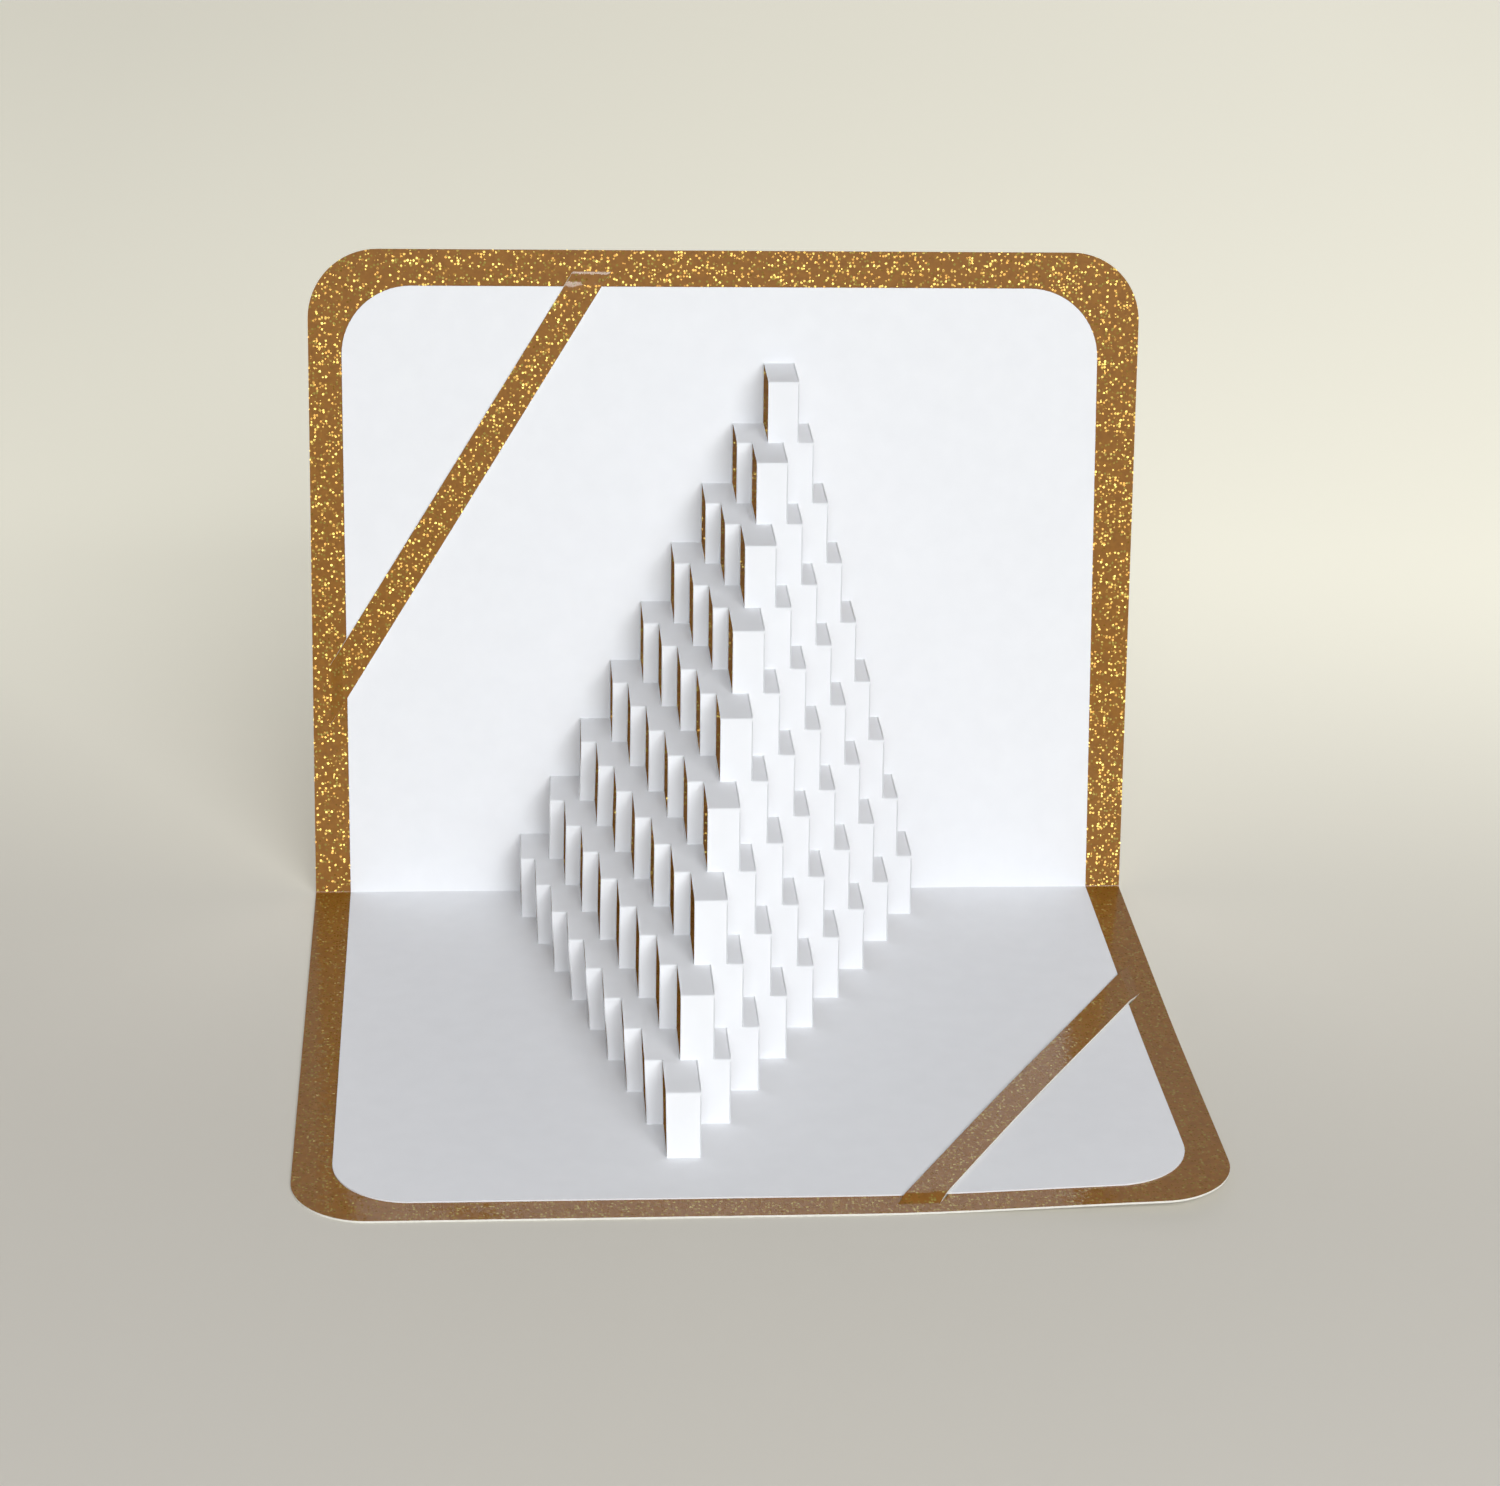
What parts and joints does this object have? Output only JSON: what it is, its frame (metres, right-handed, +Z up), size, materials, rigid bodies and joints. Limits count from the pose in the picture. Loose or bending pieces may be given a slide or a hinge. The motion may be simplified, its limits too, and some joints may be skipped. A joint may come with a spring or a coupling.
{
  "type": "pop-up card",
  "caption": "Gold-bordered card standing open on its fold, with a white sheet cut and folded into a stepped pyramid and tucked under diagonal corner straps.",
  "frame": {"origin": "middle of the base panel's underside", "axes": "+X along the fold, to the right as seen from the open front; +Y to the back, where the standing panel rises; +Z up"},
  "size_m": [0.15, 0.1404, 0.1169],
  "materials": {
    "glitter_card": "glossy gold glitter face, pale core and back",
    "white_paper": "matte"
  },
  "bodies": {
    "root": {"backing_card": "glitter_card", "pop_up_sheet": "white_paper"}
  },
  "joints": []
}
